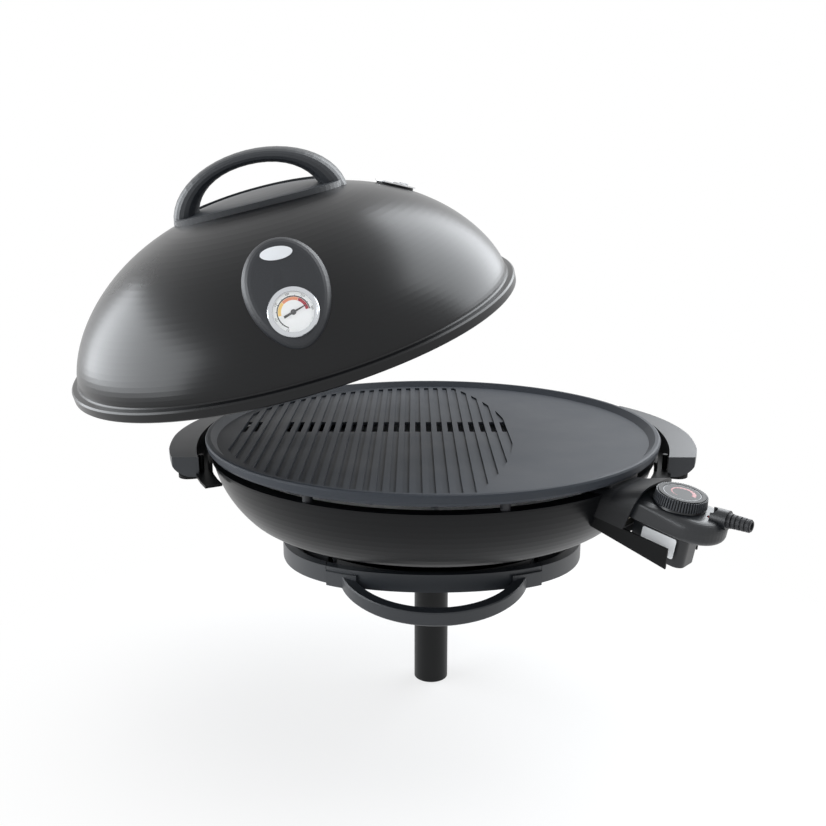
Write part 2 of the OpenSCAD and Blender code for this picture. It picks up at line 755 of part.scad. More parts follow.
module lid_shell() {
    outer = concat([[lid_r - 1, 0], [lid_r, 1], [lid_r, band_h - 1.5], [lid_r - 1.5, band_h],
        [dome_r + 1.5, dome_z - 1]],
        dome_line(0, 36));
    inner = concat([[lid_r - 1, 0], [lid_r - lid_t, 1], [lid_r - lid_t, band_h - 1.5 - 0.5],
        [lid_r - 1.5 - 0.5, band_h - lid_t], [dome_r + 1.5 - 0.5, dome_z - 1 - lid_t]],
            dome_line(-lid_t, 36));
    color(black) at_rim() lid_place() difference() {
        rotate_extrude($fn = 240) polygon(concat(outer, back(inner)));
        dial_place() translate([0, 0, -20]) cylinder(d = 6.2, h = 40, $fn = 32);
        vent_place() for (a = [0:90:270]) rotate([0, 0, a]) translate([13, 0, -20])
            cylinder(d = 9, h = 40, $fn = 32);
        vent_place() translate([0, 0, -20]) cylinder(d = 5.1, h = 40, $fn = 32);
        for (side = [-1, 1]) translate([side * grip_screw_x, 0, 60]) cylinder(d = 5.1, h = 120, $fn = 24);
    }
}

// Handle bow: a rounded section swept round half an ellipse, on a strip that follows the dome
grip_z = dome_z + 114.5;
foot_t = 5.5;
module oval(l, w) { polygon([for (i = [0:71]) [l / 2 * cos(5 * i), w / 2 * sin(5 * i)]]); }
grip_n = 28;
grip_m = 20;
function grip_ring(a) = let (
    t = 7 + 6 * pow(abs(cos(a)), 3),
    mx = grip_l / 2 - t,
    mz = grip_h - t,
    c = [mx * cos(a), mz * sin(a)],
    d = [cos(a) / mx, sin(a) / mz] / norm([cos(a) / mx, sin(a) / mz]))
    [for (j = [grip_m - 1:-1:0]) let (b = 360 * j / grip_m,
        u = t * sign(cos(b)) * pow(abs(cos(b)), 0.85),
        v = grip_w / 2 * sign(sin(b)) * pow(abs(sin(b)), 0.85))
        [c[0] + u * d[0], v, grip_z + c[1] + u * d[1]]];
module lid_handle() {
    color(dark) at_rim() lid_place() difference() {
        union() {
            loft([for (i = [0:grip_n]) grip_ring(-8 + 196 * i / grip_n)]);
            intersection() {
                dome_solid(foot_t);
                difference() {
                    linear_extrude(grip_z + 60) oval(grip_l - 6, foot_w);
                    linear_extrude(grip_z + 60) oval(grip_l - 14, foot_w - 8);
                }
            }
            intersection() {
                dome_solid(foot_t - 2.5);
                linear_extrude(grip_z + 60) oval(grip_l - 12, foot_w - 6);
            }
        }
        dome_solid(0.05);
        translate([-150, -50, 0]) cube([300, 100, grip_z - 12]);
        for (side = [-1, 1]) translate([side * grip_screw_x, 0, 60])
            cylinder(d = 5.1, h = grip_z - 60 + 23, $fn = 24);
    }
}
module lid_handle_screws() {
    color(steel) at_rim() lid_place() for (side = [-1, 1])
        translate([side * grip_screw_x, 0, dome_height(grip_screw_x) - lid_t - 1.2]) {
            cylinder(d = 5, h = 16, $fn = 24);
            translate([0, 0, -3]) cylinder(d = 10, h = 3, $fn = 32);
        }
}

// Badge plate: an egg-shaped pad with a crowned face that leans less than the dome, so that
// it grows out of the dome at its top and stands proud of it at its foot
egg_up = 18.3;
egg_crown = 400;
egg_edge = 8;
function egg_ring(d, sink) = [for (i = [0:63]) let (
    a = 360 * i / 64,
    x = -(egg_l / 2 - d) * cos(a) - egg_up,
    y = (egg_w / 2 - d) * sin(a) * (1 + 0.13 * cos(a) - 0.03 * cos(2 * a)))
    [x, y, egg_t - (x * x + y * y) / (2 * egg_crown) - sink]];
module badge_plate() {
    color(dark) at_rim() lid_place() difference() {
        dial_place() loft([
            egg_ring(0, 40),
            for (i = [0:5]) egg_ring(egg_edge * (1 - cos(18 * i)), egg_edge * (1 - sin(18 * i))),
            for (d = [14, 20, 26]) egg_ring(d, 0)]);
        dome_solid(0.05);
        dial_place() translate([0, 0, -8]) cylinder(d = bezel_d - 3, h = 40, $fn = 96);
    }
}

// Thermometer: a turned case with a rolled bezel, seated in the badge plate
case_z = egg_t - 6;
face_z = egg_t - 1.5;
bezel_z = egg_t + 3;
glass_z = egg_t + 1.2;
module thermometer_case() {
    color("#9a9da1") at_rim() lid_place() dial_place() difference() {
        union() {
            translate([0, 0, case_z]) cylinder(d = bezel_d - 3.4, h = bezel_z - case_z - 1.2, $fn = 96);
            rotate_extrude($fn = 96) polygon([[bezel_d / 2 - 5, egg_t - 1.4],
                [bezel_d / 2 - 1.7, egg_t - 1.4],
                [bezel_d / 2 - 1.7, egg_t + 0.1], [bezel_d / 2, egg_t + 0.1],
                [bezel_d / 2, bezel_z - 1], [bezel_d / 2 - 0.6, bezel_z - 0.2], [bezel_d / 2 - 1.4, bezel_z],
                [bezel_d / 2 - 2.2, bezel_z - 0.4], [bezel_d / 2 - 4, glass_z + 0.8],
                    [bezel_d / 2 - 5, glass_z + 0.4]]);
        }
        translate([0, 0, face_z]) cylinder(d = bezel_d - 7.6, h = glass_z + 0.4 - face_z, $fn = 96);
        translate([0, 0, glass_z]) cylinder(d = bezel_d - 8.4, h = 10, $fn = 96);
        translate([0, 0, -5]) cylinder(d = 6.1, h = 30, $fn = 32);
    }
}
module dial_face() {
    color("#eef0f0") at_rim() lid_place() dial_place() difference() {
        translate([0, 0, face_z + eps]) cylinder(d = bezel_d - 7.8, h = 0.8, $fn = 96);
        translate([0, 0, 0]) cylinder(d = 2.2, h = 30, $fn = 32);
    }
}
module dial_glass() {
    color([0.8, 0.9, 0.95, 0.35]) at_rim() lid_place() dial_place() translate([0, 0, glass_z - 0.8])
        cylinder(d = bezel_d - 7.8, h = 0.8, $fn = 96);
}
module thermometer_stem() {
    color(steel) at_rim() lid_place() dial_place() {
        translate([0, 0, -55]) cylinder(d = 6, h = 55 + face_z - 0.1, $fn = 32);
        translate([0, 0, -55]) sphere(d = 6, $fn = 32);
    }
}

// The nut that holds the stem sits on a wedge washer, because the stem leans against the dome
nut_z = -lid_t - 11;
module stem_nut() {
    color(steel) at_rim() lid_place() difference() {
        dial_place() difference() {
            union() {
                translate([0, 0, nut_z]) cylinder(d = 14, h = 4.6, $fn = 6);
                translate([0, 0, nut_z + 4.6 - eps]) cylinder(d = 16, h = 8, $fn = 48);
            }
            translate([0, 0, nut_z - 1]) cylinder(d = 6.1, h = 20, $fn = 32);
        }
        difference() {
            dome_solid(30);
            dome_solid(-lid_t - 0.1);
        }
    }
}
needle_turn = 105;
module needle() {
    color("#15161a") at_rim() lid_place() dial_place() translate([0, 0, face_z]) {
        translate([0, 0, 1.2]) rotate([0, 0, needle_turn]) linear_extrude(0.4)
            polygon([[-9, -1], [-9, 1], [0, 0.9], [12.5, 0.3], [12.5, -0.3], [0, -0.9]]);
        translate([0, 0, 0.9]) cylinder(d = 4.6, h = 0.9, $fn = 32);
        translate([0, 0, 0]) cylinder(d = 2, h = 1.2, $fn = 32);
    }
}

// Vent with a turning shutter on a seat that follows the dome
seat_t = 1.4;
module vent_seat() {
    color(black) at_rim() lid_place() difference() {
        vent_place() difference() {
            translate([0, 0, -8]) cylinder(d = vent_d - 4, h = 8 + seat_t, $fn = 96);
            for (a = [0:90:270]) rotate([0, 0, a]) translate([13, 0, -20]) cylinder(d = 9, h = 40, $fn = 32);
            translate([0, 0, -20]) cylinder(d = 5.1, h = 40, $fn = 32);
        }
        dome_solid(0.05);
    }
}
module vent_shutter() {
    color("#d9dbde") at_rim() lid_place() vent_place() difference() {
        union() {
            translate([0, 0, seat_t + 0.1]) cylinder(d = vent_d, h = 1.2, $fn = 96);
            rotate([0, 0, 45]) translate([vent_d / 2 - 3, -5, seat_t + 0.1]) cube([1.6, 10, 3.4]);
        }
        for (a = [0:90:270]) rotate([0, 0, a]) translate([13, 0, -5]) cylinder(d = 9, h = 20, $fn = 32);
        translate([0, 0, -5]) cylinder(d = 5.1, h = 20, $fn = 32);
    }
}
module vent_rivet() {
    color(steel) at_rim() lid_place() vent_place() {
        translate([0, 0, -2]) cylinder(d = 5, h = 3.6 + seat_t, $fn = 32);
        translate([0, 0, seat_t + 1.4]) cylinder(d = 9, h = 1, $fn = 32);
        translate([0, 0, -lid_t - 1.9]) cylinder(d = 9, h = 1.6, $fn = 32);
    }
}

// Drip tray with its front and bow handle
pan_t = 1.2;
lip_front = ring_front(pan_w / 2 + pan_lip) - 3.3;
module pan_outline(t) {
    intersection() {
        translate([-pan_w / 2 + t, -200]) square([pan_w - 2 * t, 200 + pan_back - t]);
        circle(r = floor_r - t, $fn = 180);
    }
}
module drip_tray() {
    color(steel) at_rim() {
        translate([0, 0, tray_top - tray_depth]) difference() {
            linear_extrude(tray_depth) pan_outline(0);
            translate([0, 0, pan_t]) linear_extrude(tray_depth) pan_outline(pan_t);
        }
        for (side = [-1, 1]) translate([side * (pan_w + pan_lip - 2 * eps) / 2 - pan_lip / 2, -lip_front,
            tray_top - pan_t])
            cube([pan_lip, lip_front + pan_back - 16, pan_t]);
    }
}
module tray_front() {
    half = tray_w / 2;
    color(black) at_rim() difference() {
        intersection() {
            translate([0, 0, -ring_drop - 60]) cylinder(r = ring_d / 2, h = 80, $fn = 180);
            saddle_slab(-ring_drop, ring_h);
            translate([-half, -ring_d, -ring_drop - 60]) cube([2 * half, ring_d, 80]);
        }
        translate([0, 0, -ring_drop - 61]) cylinder(r = ring_in, h = 82, $fn = 180);
    }
}
bow_y = -107;
bow_low = -135;
bow_screw_a = acos((tray_w / 2 - 5.8) / ring_in);
ear_t = 3;
module bow_handle() {
    color(dark) at_rim() difference() {
        union() {
            translate([0, bow_y - bow_r, bow_low]) rotate([bow_fall, 0, 0]) translate([0, bow_r, 0])
                rotate_extrude($fn = 180) polygon([[bow_r - bow_t, 0], [bow_r - 1.5, 0], [bow_r, 1.5],
                    [bow_r, bow_h - 1],
                    [bow_r - 1, bow_h], [bow_r - bow_t, bow_h]]);
            intersection() {
                translate([0, 0, -200]) cylinder(r = ring_d / 2 + ear_t, h = 200, $fn = 180);
                saddle_slab(-ring_drop - 4, 14);
                for (side = [-1, 1]) translate([side * (tray_w / 2 - 15) - 15, -200, -200])
                    cube([30, 120, 200]);
            }
        }
        translate([0, 0, -200]) cylinder(r = ring_d / 2 + fine, h = 200, $fn = 180);
        translate([-200, -108, -200]) cube([400, 400, 200]);
    }
}
module bow_screws() {
    color(steel) at_rim() for (a = [bow_screw_a - 180, -bow_screw_a]) rotate([0, 0, a])
        translate([ring_in - fine, 0, -ring_drop - 16]) rotate([0, -90, 0])
            cylinder(d = 6, h = 1.6, $fn = 32);
}

post_tube();
hub();
hub_screws();
clamp_screw();
drip_housing();
base_ring();
tray_runners();
bowl();
bowl_screws();
heat_shield();
shield_posts();
left_bracket();
right_bracket();
left_handle();
right_handle();
handle_screws();
plug_guard();
grill_plate();
heating_tube();
tube_clips();
plate_feet();
socket_shroud();
contact_pins();
earth_pin();
thermostat_top();
thermostat_base();
strain_relief();
lamp_lens();
contact_sockets();
heat_probe();
switch_block();
thermostat_screws();
control_knob();
knob_disc();
knob_shaft();
lid_shell();
lid_handle();
lid_handle_screws();
badge_plate();
thermometer_case();
dial_face();
dial_glass();
thermometer_stem();
stem_nut();
needle();
vent_seat();
vent_shutter();
vent_rivet();
drip_tray();
tray_front();
bow_handle();
bow_screws();
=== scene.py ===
"""Studio scene of a round electric grill with a lift-off lid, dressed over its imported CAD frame.

Every CAD node keeps its mesh and gets a procedural finish. The new pieces lie on the CAD's
surfaces: the thermometer's printed scale, the bare oval plate above it, the bare label on the
thermostat, the marks and ribs on its knob, a shelf under each side handle and a web in the guard.
Lengths are in millimetres unless a name ends in _m.
"""

import json
import logging
import math
from dataclasses import dataclass
from enum import Enum

import bmesh
import bpy
from mathutils import Matrix, Vector
from mathutils.bvhtree import BVHTree

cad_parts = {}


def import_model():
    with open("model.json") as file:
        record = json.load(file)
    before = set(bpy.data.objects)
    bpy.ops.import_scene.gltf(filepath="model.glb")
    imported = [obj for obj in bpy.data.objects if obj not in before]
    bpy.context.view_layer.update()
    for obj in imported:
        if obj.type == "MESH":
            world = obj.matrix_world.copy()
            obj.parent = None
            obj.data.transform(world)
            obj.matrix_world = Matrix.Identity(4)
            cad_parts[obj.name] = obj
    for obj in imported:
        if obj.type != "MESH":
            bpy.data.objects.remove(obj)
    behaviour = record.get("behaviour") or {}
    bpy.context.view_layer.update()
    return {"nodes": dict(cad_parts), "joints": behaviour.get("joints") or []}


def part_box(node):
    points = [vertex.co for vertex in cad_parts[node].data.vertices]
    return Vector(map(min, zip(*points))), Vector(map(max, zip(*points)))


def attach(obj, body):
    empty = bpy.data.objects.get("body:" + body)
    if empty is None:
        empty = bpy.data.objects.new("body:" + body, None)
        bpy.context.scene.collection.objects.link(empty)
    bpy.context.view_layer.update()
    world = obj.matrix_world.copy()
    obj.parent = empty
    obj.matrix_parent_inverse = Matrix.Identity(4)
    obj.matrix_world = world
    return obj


log = logging.getLogger("grill")

MM = 0.001
# Degrees that one step of a spun ring covers
SPIN_STEP = 4.0


def linear(hex_code: str) -> tuple[float, float, float, float]:
    """Turns an sRGB colour into the linear one that the shaders take.

    Args:
        hex_code: The colour as six hex digits, such as "1c1e22".

    Returns:
        Linear red, green, blue, and an alpha of 1.
    """
    channels = [int(hex_code[i : i + 2], 16) / 255 for i in (0, 2, 4)]
    values = [c / 12.92 if c <= 0.04045 else ((c + 0.055) / 1.055) ** 2.4 for c in channels]
    return (values[0], values[1], values[2], 1.0)


def add_node(
    tree: bpy.types.NodeTree,
    kind: str,
    settings: dict[str, object] | None = None,
    inputs: dict[str | int, object] | None = None,
) -> bpy.types.Node:
    """Adds a node with its settings, its socket values and its links.

    Args:
        tree: The node tree that the node goes into.
        kind: The node's type name.
        settings: Properties of the node itself.
        inputs: A value, or an output socket to link from, for each input by name or number.

    Returns:
        The new node.
    """
    node = tree.nodes.new(kind)
    for name, value in (settings or {}).items():
        setattr(node, name, value)
    for name, value in (inputs or {}).items():
        if isinstance(value, bpy.types.NodeSocket):
            tree.links.new(value, node.inputs[name])
        else:
            node.inputs[name].default_value = value
    return node


def white_rays(tree: bpy.types.NodeTree) -> bpy.types.NodeSocket:
    """Marks the rays that meet the white background: the camera's, and metal's and glass's.

    Args:
        tree: The node tree that the nodes go into.

    Returns:
        A socket that is 1 for those rays and 0 for the rays that carry light.
    """
    path = add_node(tree, "ShaderNodeLightPath")
    seen = path.outputs["Is Camera Ray"]
    for kind in ("Is Glossy Ray", "Is Transmission Ray"):
        inputs = {0: seen, 1: path.outputs[kind]}
        seen = add_node(tree, "ShaderNodeMath", {"operation": "MAXIMUM"}, inputs).outputs[0]
    return seen


def ease(
    mesh: bmesh.types.BMesh, edges: list[bmesh.types.BMEdge], offset: float, segments: int
) -> None:
    """Rounds edges.

    Args:
        mesh: The bmesh that they are in.
        edges: The edges.
        offset: How far the rounding reaches from each edge.
        segments: The number of steps that it has.
    """
    bmesh.ops.bevel(
        mesh,
        geom=edges,
        offset=offset,
        offset_type="OFFSET",
        affect="EDGES",
        segments=segments,
        profile=0.5,
        material=-1,
    )


class Texture(Enum):
    """How a finish's surface was made, which is what its fine relief shows."""

    SMOOTH = "smooth"
    ORANGE_PEEL = "orange peel"
    SPARK_GRAIN = "spark grain"
    CAST = "sprayed over a casting"
    BRUSHED = "brushed"
    TURNED = "turned"


@dataclass(frozen=True)
class Finish:
    """One real finish: what the piece is made of, and how its surface was made.

    The relief's scale is the real grain in millimetres. Grain under about half a millimetre is too
    fine to show, so it is drawn at the given, coarser size.
    """

    name: str
    colour: str
    roughness: float
    texture: Texture = Texture.SMOOTH
    grain_mm: float = 1.0
    relief_mm: float = 0.0
    roughness_swing: float = 0.0
    tone_swing: float = 0.0
    metallic: float = 0.0
    ior: float = 1.5
    specular: float = 0.5
    coat: float = 0.0
    coat_roughness: float = 0.1
    transmission: float = 0.0
    alpha: float = 1.0

    def build(self) -> bpy.types.Material:
        """Makes the material.

        Returns:
            A new material, named for the finish.
        """
        material = bpy.data.materials.new(self.name)
        material.use_nodes = True
        tree = material.node_tree
        tree.nodes.clear()
        shader = add_node(
            tree,
            "ShaderNodeBsdfPrincipled",
            inputs={
                "Base Color": linear(self.colour),
                "Roughness": self.roughness,
                "Metallic": self.metallic,
                "Specular IOR Level": self.specular,
                "Coat Weight": self.coat,
                "Coat Roughness": self.coat_roughness,
                "Transmission Weight": self.transmission,
                "Alpha": self.alpha,
            },
        )
        if self.metallic < 0.5:
            shader.inputs["IOR"].default_value = self.ior
        add_node(tree, "ShaderNodeOutputMaterial", inputs={"Surface": shader.outputs["BSDF"]})
        if self.texture is not Texture.SMOOTH:
            self._relief(tree, shader)
        material.diffuse_color = linear(self.colour)
        return material

    def _relief(self, tree: bpy.types.NodeTree, shader: bpy.types.Node) -> None:
        """Adds the finish's grain as relief, and as a swing in gloss and tone.

        Args:
            tree: The material's node tree.
            shader: The shader that the grain goes into.
        """
        place = add_node(tree, "ShaderNodeTexCoord").outputs["Object"]
        per_metre = 1.0 / (self.grain_mm * MM)
        if self.texture is Texture.BRUSHED:
            # Brushing runs along X, so the grain is drawn out that way
            place = add_node(
                tree,
                "ShaderNodeMapping",
                inputs={"Vector": place, "Scale": (0.03, 1.0, 1.0)},
            ).outputs["Vector"]
        if self.texture is Texture.TURNED:
            pattern = add_node(
                tree,
                "ShaderNodeTexWave",
                {"wave_type": "RINGS", "rings_direction": "X"},
                {"Vector": place, "Scale": per_metre / 3, "Distortion": 0.4},
            ).outputs["Fac"]
        elif self.texture is Texture.SPARK_GRAIN:
            pattern = add_node(
                tree,
                "ShaderNodeTexVoronoi",
                {"feature": "SMOOTH_F1"},
                {"Vector": place, "Scale": per_metre, "Smoothness": 0.6},
            ).outputs["Distance"]
        else:
            detail = 1.0 if self.texture is Texture.ORANGE_PEEL else 4.0
            pattern = add_node(
                tree,
                "ShaderNodeTexNoise",
                inputs={"Vector": place, "Scale": per_metre, "Detail": detail},
            ).outputs["Fac"]
        bump = add_node(
            tree,
            "ShaderNodeBump",
            inputs={"Height": pattern, "Distance": self.relief_mm * MM, "Strength": 1.0},
        )
        tree.links.new(bump.outputs["Normal"], shader.inputs["Normal"])
        # Handling and heat leave broad, faint patches of more and less gloss
        patches = add_node(
            tree,
            "ShaderNodeTexNoise",
            inputs={"Vector": place, "Scale": 12.0, "Detail": 3.0},
        ).outputs["Fac"]
        if self.roughness_swing > 0:
            gloss = add_node(
                tree,
                "ShaderNodeMapRange",
                inputs={
                    "Value": patches,
                    "From Min": 0.3,
                    "From Max": 0.7,
                    "To Min": self.roughness - self.roughness_swing,
                    "To Max": self.roughness + self.roughness_swing,
                },
            )
            tree.links.new(gloss.outputs["Result"], shader.inputs["Roughness"])
        if self.tone_swing > 0:
            base = linear(self.colour)
            dark = tuple(c * (1 - self.tone_swing) for c in base[:3]) + (1.0,)
            light = tuple(min(1.0, c * (1 + self.tone_swing)) for c in base[:3]) + (1.0,)
            tone = add_node(
                tree,
                "ShaderNodeMix",
                {"data_type": "RGBA"},
                {"Factor": pattern, 6: dark, 7: light},
            )
            tree.links.new(tone.outputs[2], shader.inputs["Base Color"])


# Baked silicone paint on pressed steel: nearly black, with a soft broad shine and faint orange peel
SATIN_PAINT = Finish(
    "satin_black_heatproof_paint",
    "08090b",
    0.29,
    Texture.ORANGE_PEEL,
    grain_mm=5.0,
    relief_mm=0.004,
    roughness_swing=0.02,
    specular=0.3,
)
# The same paint on the bowl, whose flank is a little duller
BOWL_PAINT = Finish(
    "satin_black_bowl_paint",
    "08090b",
    0.32,
    Texture.ORANGE_PEEL,
    grain_mm=5.0,
    relief_mm=0.004,
    roughness_swing=0.03,
    specular=0.2,
)
# Powder coat on the post's tube: black and even
POST_PAINT = Finish(
    "black_powder_coat",
    "060708",
    0.42,
    Texture.ORANGE_PEEL,
    grain_mm=2.0,
    relief_mm=0.003,
    specular=0.25,
)
# Glass-filled nylon from a spark-eroded mould: black, dull, with a fine pebble
BLACK_NYLON = Finish(
    "spark_grained_black_nylon",
    "101113",
    0.5,
    Texture.SPARK_GRAIN,
    grain_mm=0.9,
    relief_mm=0.01,
    roughness_swing=0.03,
    specular=0.25,
)
# The same nylon on the knob's ribs, painted paler as a sheen where the ribs catch the light
RIB_NYLON_PAINTED_SHEEN = Finish("black_nylon_ribs_painted_sheen", "34363a", 0.42, specular=0.4)
# Phenolic moulding for the handles: anthracite with a silky sheen
ANTHRACITE_PHENOLIC = Finish(
    "anthracite_phenolic",
    "212428",
    0.4,
    Texture.SPARK_GRAIN,
    grain_mm=0.8,
    relief_mm=0.008,
    roughness_swing=0.03,
)
# The pad on the lid: anthracite plastic with a visible fine grain
GRAINED_PAD = Finish(
    "grained_anthracite_plastic",
    "1d1f23",
    0.46,
    Texture.SPARK_GRAIN,
    grain_mm=1.1,
    relief_mm=0.04,
    tone_swing=0.15,
)
# PTFE non-stick sprayed over a die casting: matte mid grey, with a faint sparkle of grit
NONSTICK = Finish(
    "grey_nonstick_on_cast_aluminium",
    "34373c",
    0.5,
    Texture.CAST,
    grain_mm=1.6,
    relief_mm=0.03,
    roughness_swing=0.05,
    tone_swing=0.06,
    specular=0.15,
)
# Painted steel straps and guard: dark grey, dull
DARK_STEEL_PAINT = Finish(
    "dark_painted_steel",
    "08090a",
    0.45,
    Texture.ORANGE_PEEL,
    grain_mm=2.0,
    relief_mm=0.004,
    specular=0.15,
)
# Zinc-plated steel for screws and runners: pale metal, slightly cloudy
ZINC_STEEL = Finish(
    "zinc_plated_steel",
    "b9bcc0",
    0.34,
    Texture.ORANGE_PEEL,
    grain_mm=1.5,
    relief_mm=0.003,
    roughness_swing=0.06,
    metallic=1.0,
)
# Stainless sheet with a mill brushing: long fine lines
STAINLESS = Finish(
    "brushed_stainless_sheet",
    "c6c7c8",
    0.3,
    Texture.BRUSHED,
    grain_mm=0.8,
    relief_mm=0.006,
    roughness_swing=0.04,
    metallic=1.0,
)
# The tray's sheet painted deep black and glossy as painted shade, so that the gap above it stays
# dark
TRAY_PAINTED_SHADE_BLACK = Finish("tray_black_painted_shade", "08090a", 0.3, specular=0.3)
# Aluminised steel for the heat shield: bright, with a soft crystalline bloom
ALUMINISED = Finish(
    "aluminised_steel",
    "d3d4d6",
    0.36,
    Texture.CAST,
    grain_mm=6.0,
    relief_mm=0.01,
    roughness_swing=0.08,
    metallic=1.0,
)
# The heater's steel sheath, browned by heat
HEATED_SHEATH = Finish(
    "heat_darkened_sheath",
    "5a5048",
    0.45,
    Texture.ORANGE_PEEL,
    grain_mm=3.0,
    relief_mm=0.01,
    roughness_swing=0.08,
    metallic=1.0,
)
# Black rubber for feet and strain relief: dull, soft highlight
RUBBER = Finish(
    "black_rubber",
    "1b1c1f",
    0.55,
    Texture.CAST,
    grain_mm=0.9,
    relief_mm=0.01,
)
# Thermoset socket: black, a little shinier than the nylon
THERMOSET = Finish(
    "black_thermoset",
    "111214",
    0.45,
    Texture.SPARK_GRAIN,
    grain_mm=0.8,
    relief_mm=0.008,
    specular=0.3,
)
# Thermostat case: anthracite polycarbonate with a satin skin
SATIN_CASE = Finish(
    "satin_anthracite_polycarbonate",
    "17191c",
    0.36,
    Texture.SPARK_GRAIN,
    grain_mm=0.7,
    relief_mm=0.004,
)
# Brass contacts, turned on a lathe
BRASS = Finish(
    "turned_brass",
    "c9a45c",
    0.25,
    Texture.TURNED,
    grain_mm=0.6,
    relief_mm=0.01,
    metallic=1.0,
)
# Red lens of the lamp: clear dyed plastic, deep red
RED_LENS = Finish("red_lamp_lens", "8c1220", 0.12, coat=0.6, coat_roughness=0.05)
# Ceramic-filled switch block
CREAM_BLOCK = Finish(
    "cream_ceramic_block",
    "d8d0bc",
    0.55,
    Texture.CAST,
    grain_mm=1.0,
    relief_mm=0.01,
)
# Chromed steel case of the thermometer: bright, very slightly brushed
SATIN_CHROME = Finish(
    "satin_chromed_steel",
    "c9ccd0",
    0.16,
    Texture.ORANGE_PEEL,
    grain_mm=4.0,
    relief_mm=0.001,
    metallic=1.0,
)
# Enamelled dial: clean white
WHITE_DIAL = Finish("white_enamel_dial", "f1f2f2", 0.45)
# Painted needle
NEEDLE_PAINT = Finish("black_needle_paint", "0b0b0d", 0.35)
# Flat glass over the dial
DIAL_GLASS = Finish("flat_glass", "ffffff", 0.02, transmission=1.0, ior=1.45)
# The knob's disc: black lacquer with a dull sheen, so that its marks stay legible
KNOB_DISC = Finish("satin_black_disc", "08080a", 0.42, specular=0.2)
# Polyester film of the bare label and bare plate: white, slightly glossy
WHITE_FILM = Finish("white_polyester_film", "f0f0f0", 0.3, coat=0.3)
WHITE_BADGE = Finish("white_enamelled_badge", "e9eaec", 0.25, coat=0.5)
# Screen-printed inks of the dial and the knob
INK_BLACK = Finish("black_dial_ink", "101114", 0.4)
INK_YELLOW = Finish("yellow_dial_ink", "f0c86e", 0.45)
INK_ORANGE = Finish("orange_dial_ink", "e58d62", 0.45)
INK_RED = Finish("red_dial_ink", "a81c30", 0.5, specular=0.2)
INK_KNOB_RED = Finish("red_knob_ink", "8e2a31", 0.35)
INK_KNOB_GREY = Finish("pale_knob_ink", "9a9ca0", 0.35)

NODE_FINISHES: dict[Finish, tuple[str, ...]] = {
    SATIN_PAINT: ("lid_shell",),
    BOWL_PAINT: ("bowl",),
    POST_PAINT: ("post_tube",),
    BLACK_NYLON: ("hub", "clamp_screw", "drip_housing", "control_knob", "vent_seat"),
    ANTHRACITE_PHENOLIC: (
        "left_handle",
        "right_handle",
        "lid_handle",
        "bow_handle",
        "base_ring",
        "tray_front",
    ),
    GRAINED_PAD: ("badge_plate",),
    NONSTICK: ("grill_plate",),
    DARK_STEEL_PAINT: ("left_bracket", "right_bracket", "plug_guard"),
    ZINC_STEEL: (
        "hub_screws",
        "bowl_screws",
        "shield_posts",
        "handle_screws",
        "tube_clips",
        "earth_pin",
        "thermostat_screws",
        "knob_shaft",
        "lid_handle_screws",
        "stem_nut",
        "bow_screws",
        "tray_runners",
    ),
    STAINLESS: ("heat_probe", "thermometer_stem", "vent_shutter", "vent_rivet"),
    TRAY_PAINTED_SHADE_BLACK: ("drip_tray",),
    ALUMINISED: ("heat_shield",),
    HEATED_SHEATH: ("heating_tube",),
    RUBBER: ("strain_relief", "plate_feet"),
    THERMOSET: ("socket_shroud",),
    SATIN_CASE: ("thermostat_top", "thermostat_base"),
    BRASS: ("contact_pins", "contact_sockets"),
    RED_LENS: ("lamp_lens",),
    CREAM_BLOCK: ("switch_block",),
    SATIN_CHROME: ("thermometer_case",),
    WHITE_DIAL: ("dial_face",),
    NEEDLE_PAINT: ("needle",),
    DIAL_GLASS: ("dial_glass",),
    KNOB_DISC: ("knob_disc",),
}


def dress_nodes(nodes: dict[str, bpy.types.Object]) -> None:
    """Gives every CAD node its finish.

    Args:
        nodes: The CAD nodes by name.
    """
    for finish, names in NODE_FINISHES.items():
        material = finish.build()
        for name in names:
            for slot in nodes[name].material_slots:
                slot.material = material
    left = set(nodes) - {name for names in NODE_FINISHES.values() for name in names}
    log.info("dressed %d nodes, left %s", len(nodes), sorted(left))


@dataclass(frozen=True)
class Seat:
    """A flat place on the object, with its own axes, on which thin pieces are laid.

    Args:
        origin: The middle of the place, in metres.
        right: Unit vector to the right, in the place's plane.
        up: Unit vector upward, in the place's plane.
    """

    origin: Vector
    right: Vector
    up: Vector

    def matrix(self, lift_mm: float = 0.0) -> Matrix:
        """Gives the transform from millimetres on the seat to metres in the frame.

        Args:
            lift_mm: How far above the seat the piece starts.

        Returns:
            The transform as a 4 by 4 matrix.
        """
        normal = self.right.cross(self.up)
        turn = Matrix((self.right, self.up, normal)).transposed().to_4x4()
        start = Matrix.Translation(self.origin + normal * lift_mm * MM)
        return start @ turn @ Matrix.Scale(MM, 4)


def seat_on(origin: Vector, normal: Vector, right: Vector) -> Seat:
    """Makes a seat from a point, a normal and a rough direction to the right.

    Args:
        origin: The middle of the seat.
        normal: The way that the seat faces.
        right: A direction whose part in the seat's plane becomes its right.

    Returns:
        The seat.
    """
    across = (right - normal * right.dot(normal)).normalized()
    return Seat(origin, across, normal.cross(across))


def reach(node: bpy.types.Object, origin: Vector, axis: Vector) -> tuple[float, float]:
    """Measures how far a node reaches along an axis, both ways.

    Args:
        node: The CAD node.
        origin: Where the measure starts, in metres.
        axis: Unit vector of the axis.

    Returns:
        The lowest and highest reach, in metres.
    """
    found = [(vertex.co - origin).dot(axis) for vertex in node.data.vertices]
    return min(found), max(found)


